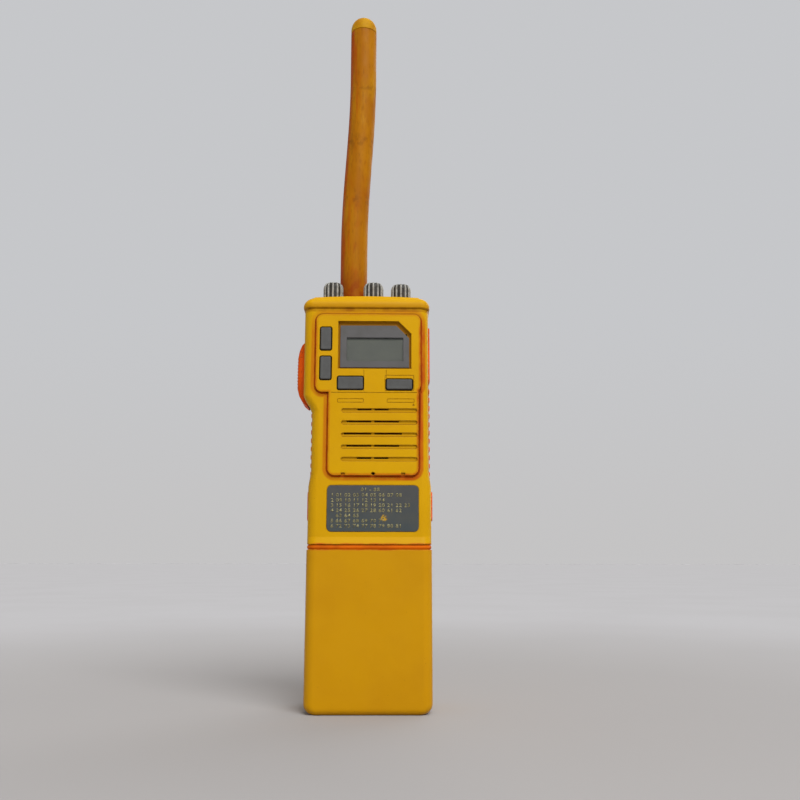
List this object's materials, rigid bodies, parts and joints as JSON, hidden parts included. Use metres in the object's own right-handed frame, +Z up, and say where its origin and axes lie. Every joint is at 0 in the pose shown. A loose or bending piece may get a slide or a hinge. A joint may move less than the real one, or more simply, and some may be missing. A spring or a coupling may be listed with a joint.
{
  "type": "marine vhf handheld radio",
  "caption": "Handheld marine radio with yellow shells, front display and keys, top knobs, screw-in antenna, side talk button and lift-off battery pack.",
  "frame": {"origin": "centre of the battery pack's flat base", "axes": "+Z up along the height, -Y is the side with the display, +X to the viewer's right"},
  "size_m": [0.0701, 0.0415, 0.3839],
  "materials": {
    "shell_yellow": "fine moulded grain",
    "orange_rubber": "smooth, slightly worn",
    "key_rubber": "satin",
    "knob_grey": "satin",
    "mask_grey": "printed behind a clear skin",
    "window_clear": "clear",
    "display_glass": "unlit liquid crystal",
    "plate_slate": "printed foil",
    "antenna_amber": "mottled",
    "tip_yellow": "smooth",
    "dark_plastic": "moulded",
    "board_green": "solder mask",
    "cell_sleeve": "shrink sleeved",
    "nickel": "plated",
    "brass": "machined",
    "steel": "zinc plated",
    "die_cast": "as cast",
    "magnet_ferrite": "ground",
    "speaker_black": "woven"
  },
  "bodies": {
    "battery_pack": {"battery_case": "shell_yellow", "battery_lid": "dark_plastic", "battery_seal": "orange_rubber", "battery_cells": "cell_sleeve", "cell_holders": "dark_plastic", "cell_links": "nickel", "battery_board": "board_green", "battery_contacts": "brass"},
    "radio": {"front_shell": "shell_yellow", "rear_shell": "shell_yellow", "housing_seals": "orange_rubber", "top_cap": "shell_yellow", "front_plate": "shell_yellow", "plate_gasket": "orange_rubber", "display_mask": "mask_grey", "display_window": "window_clear", "display_module": "display_glass", "key_membrane": "key_rubber", "front_board": "board_green", "instruction_plate": "plate_slate", "speaker_cloth": "speaker_black", "speaker_basket": "steel", "speaker_cone": "speaker_black", "speaker_magnet": "magnet_ferrite", "microphone": "steel", "side_grip_left": "orange_rubber", "side_grip_right": "orange_rubber", "chassis": "die_cast", "main_board": "board_green", "shield_can": "nickel", "power_module": "die_cast", "board_screws": "steel", "housing_screws": "steel", "clip_inserts": "brass", "antenna_socket": "brass", "rotary_controls": "steel", "control_nuts": "nickel", "jack_block": "dark_plastic", "switch_board": "board_green", "radio_base": "dark_plastic", "contact_pins": "brass"},
    "talk": {"talk_button": "orange_rubber"},
    "side_button": {"side_key": "orange_rubber"},
    "scan_button": {"key_scan": "key_rubber"},
    "light_button": {"key_light": "key_rubber"},
    "left_button": {"key_left": "key_rubber"},
    "right_button": {"key_right": "key_rubber"},
    "volume": {"volume_knob": "knob_grey"},
    "squelch": {"squelch_knob": "knob_grey"},
    "dial_plunger": {"dial_sleeve": "steel"},
    "dial": {"dial_knob": "knob_grey"},
    "cover": {"jack_cover": "orange_rubber"},
    "left_latch": {"latch_left": "orange_rubber"},
    "right_latch": {"latch_right": "orange_rubber"},
    "antenna_foot": {"antenna_washer": "dark_plastic"},
    "antenna": {"antenna_sleeve": "antenna_amber", "antenna_tip": "tip_yellow", "antenna_core": "brass", "antenna_stud": "brass"}
  },
  "joints": [
    {"name": "radio_lift", "type": "slide", "parent": "battery_pack", "child": "radio", "axis": [0, 0, 1], "range_m": [0, 0.05]},
    {"name": "talk_press", "type": "slide", "parent": "radio", "child": "talk", "axis": [1, 0, 0], "range_m": [0, 0.0015], "stiffness_N_per_m": 1500, "springref_m": -0.001},
    {"name": "side_press", "type": "slide", "parent": "radio", "child": "side_button", "axis": [1, 0, 0], "range_m": [0, 0.0008], "stiffness_N_per_m": 1500, "springref_m": -0.0006},
    {"name": "scan_press", "type": "slide", "parent": "radio", "child": "scan_button", "axis": [0, 1, 0], "range_m": [0, 0.0008], "stiffness_N_per_m": 1500, "springref_m": -0.0006},
    {"name": "light_press", "type": "slide", "parent": "radio", "child": "light_button", "axis": [0, 1, 0], "range_m": [0, 0.0008], "stiffness_N_per_m": 1500, "springref_m": -0.0006},
    {"name": "left_press", "type": "slide", "parent": "radio", "child": "left_button", "axis": [0, 1, 0], "range_m": [0, 0.0008], "stiffness_N_per_m": 1500, "springref_m": -0.0006},
    {"name": "right_press", "type": "slide", "parent": "radio", "child": "right_button", "axis": [0, 1, 0], "range_m": [0, 0.0008], "stiffness_N_per_m": 1500, "springref_m": -0.0006},
    {"name": "volume_turn", "type": "hinge", "parent": "radio", "child": "volume", "pos_m": [-0.0204, -0.005, 0.2074], "axis": [0, 0, 1], "range_deg": [-300, 0]},
    {"name": "squelch_turn", "type": "hinge", "parent": "radio", "child": "squelch", "pos_m": [0.001, -0.005, 0.2074], "axis": [0, 0, 1], "range_deg": [-140, 140]},
    {"name": "dial_push", "type": "slide", "parent": "radio", "child": "dial_plunger", "axis": [0, 0, -1], "range_m": [0, 0.0008], "stiffness_N_per_m": 1500, "springref_m": -0.0006},
    {"name": "dial_turn", "type": "hinge", "parent": "dial_plunger", "child": "dial", "pos_m": [0.0156, -0.005, 0.2074], "axis": [0, 0, 1], "continuous": true},
    {"name": "cover_turn", "type": "hinge", "parent": "radio", "child": "cover", "pos_m": [0.0306, 0.00615, 0.1778], "axis": [0, 0, 1], "range_deg": [0, 120]},
    {"name": "left_release", "type": "slide", "parent": "radio", "child": "left_latch", "axis": [1, 0, 0], "range_m": [0, 0.0012], "stiffness_N_per_m": 2500, "springref_m": -0.001},
    {"name": "right_release", "type": "slide", "parent": "radio", "child": "right_latch", "axis": [-1, 0, 0], "range_m": [0, 0.0012], "stiffness_N_per_m": 2500, "springref_m": -0.001},
    {"name": "antenna_rise", "type": "slide", "parent": "radio", "child": "antenna_foot", "axis": [0, 0, 1], "range_m": [0, 0.006]},
    {"name": "antenna_turn", "type": "hinge", "parent": "antenna_foot", "child": "antenna", "pos_m": [-0.0101, 0.007, 0.2074], "axis": [0, 0, 1], "range_deg": [0, 2160]}
  ],
  "couplings": [
    {"joint": "antenna_turn", "follows": "antenna_rise", "rad_per_m": 6283.2}
  ]
}
